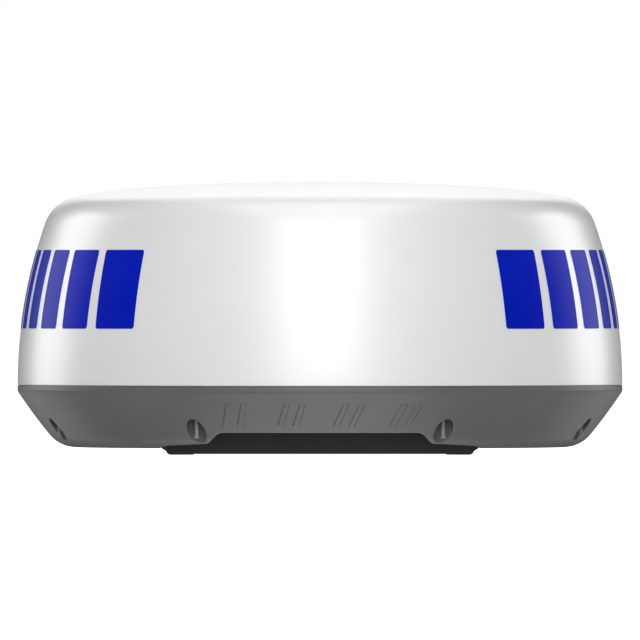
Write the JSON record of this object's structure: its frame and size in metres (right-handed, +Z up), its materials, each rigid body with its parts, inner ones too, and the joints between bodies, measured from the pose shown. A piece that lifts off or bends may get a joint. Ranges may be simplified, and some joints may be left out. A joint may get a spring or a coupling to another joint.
{
  "type": "radar dome antenna",
  "caption": "Marine radar dome: low white radome on a tapered grey cast base, with a motor-driven panel antenna turning on a bearing spindle inside.",
  "frame": {"origin": "centre of the underside, on the plane of the four mounting pads", "axes": "+Z up along the antenna's spin axis, -Y towards the front of the dome (bow), +X to starboard side of the front view"},
  "size_m": [0.51, 0.51, 0.2295],
  "materials": {
    "aluminium": "milled and chromated",
    "array_white": "moulded foam-core skin",
    "bearing_steel": "ground and polished",
    "board_green": "solder mask",
    "brass": "turned",
    "cable_black": "extruded sheath",
    "casting_grey": "grey fine-textured powder coat over the casting",
    "chip_black": "moulded epoxy",
    "coax_tan": "extruded sheath",
    "copper": "enamelled copper",
    "gear_acetal": "machined acetal",
    "graphic_blue": "satin vinyl",
    "motor_black": "black enamel",
    "plinth_black": "fine moulded grain",
    "radome_white": "smooth gloss gelcoat",
    "rubber_black": "matte",
    "sheet_aluminium": "rolled sheet",
    "socket_ivory": "moulded nylon",
    "stainless": "brushed"
  },
  "bodies": {
    "housing": {"radome_cover": "radome_white", "side_graphics": "graphic_blue", "cover_inserts": "brass", "rim_gasket": "rubber_black", "base_casting": "casting_grey", "cover_screws": "stainless", "cover_screw_washers": "rubber_black", "mounting_plinth": "plinth_black", "plinth_screws": "stainless", "mounting_pads": "rubber_black", "mounting_inserts": "brass", "cable_cover": "plinth_black", "cable_cover_screws": "stainless", "power_socket": "plinth_black", "network_socket": "plinth_black", "socket_gaskets": "rubber_black", "socket_nuts": "stainless", "socket_pins": "brass", "breather_vent": "plinth_black", "internal_harness": "cable_black", "shield_standoffs": "brass", "shield_plate": "sheet_aluminium", "shield_screws": "stainless", "bearing_pedestal": "aluminium", "pedestal_screws": "stainless", "bearing_outer_races": "bearing_steel", "motor_body": "motor_black", "motor_screws": "stainless", "zero_sensor": "board_green", "main_board": "board_green", "main_board_chips": "chip_black", "processor_heatsink": "aluminium", "board_sockets": "socket_ivory", "power_board": "board_green", "power_capacitors": "chip_black", "power_inductors": "copper", "board_screws": "stainless", "rf_module": "aluminium", "rf_module_lid": "sheet_aluminium", "coax_jumper": "coax_tan", "rotary_joint_stator": "brass"},
    "antenna": {"spindle": "stainless", "bearing_inner_races": "bearing_steel", "bearing_spacer": "aluminium", "spindle_circlip": "stainless", "rotary_joint_rotor": "brass", "turntable": "aluminium", "drive_gear": "gear_acetal", "gear_screws": "stainless", "index_magnet": "bearing_steel", "antenna_bracket": "sheet_aluminium", "antenna_screws": "stainless", "antenna_frame": "sheet_aluminium", "array_board": "board_green", "array_cover": "array_white", "feed_coax": "coax_tan"},
    "motor_rotor": {"motor_pinion": "brass", "motor_shaft": "stainless"},
    "lower_cage": {"lower_bearing_cage": "bearing_steel"},
    "upper_cage": {"upper_bearing_cage": "bearing_steel"}
  },
  "joints": [
    {"name": "antenna_spin", "type": "hinge", "parent": "housing", "child": "antenna", "pos_m": [0, 0, 0.09], "axis": [0, 0, 1], "continuous": true},
    {"name": "motor_spin", "type": "hinge", "parent": "housing", "child": "motor_rotor", "pos_m": [0, -0.07125, 0.08], "axis": [0, 0, 1], "continuous": true},
    {"name": "lower_cage_spin", "type": "hinge", "parent": "housing", "child": "lower_cage", "pos_m": [0, 0, 0.04], "axis": [0, 0, 1], "continuous": true},
    {"name": "upper_cage_spin", "type": "hinge", "parent": "housing", "child": "upper_cage", "pos_m": [0, 0, 0.072], "axis": [0, 0, 1], "continuous": true}
  ],
  "couplings": [
    {"joint": "motor_spin", "follows": "antenna_spin", "ratio": -5.3333},
    {"joint": "lower_cage_spin", "follows": "antenna_spin", "ratio": 0.39758},
    {"joint": "upper_cage_spin", "follows": "antenna_spin", "ratio": 0.39758}
  ]
}
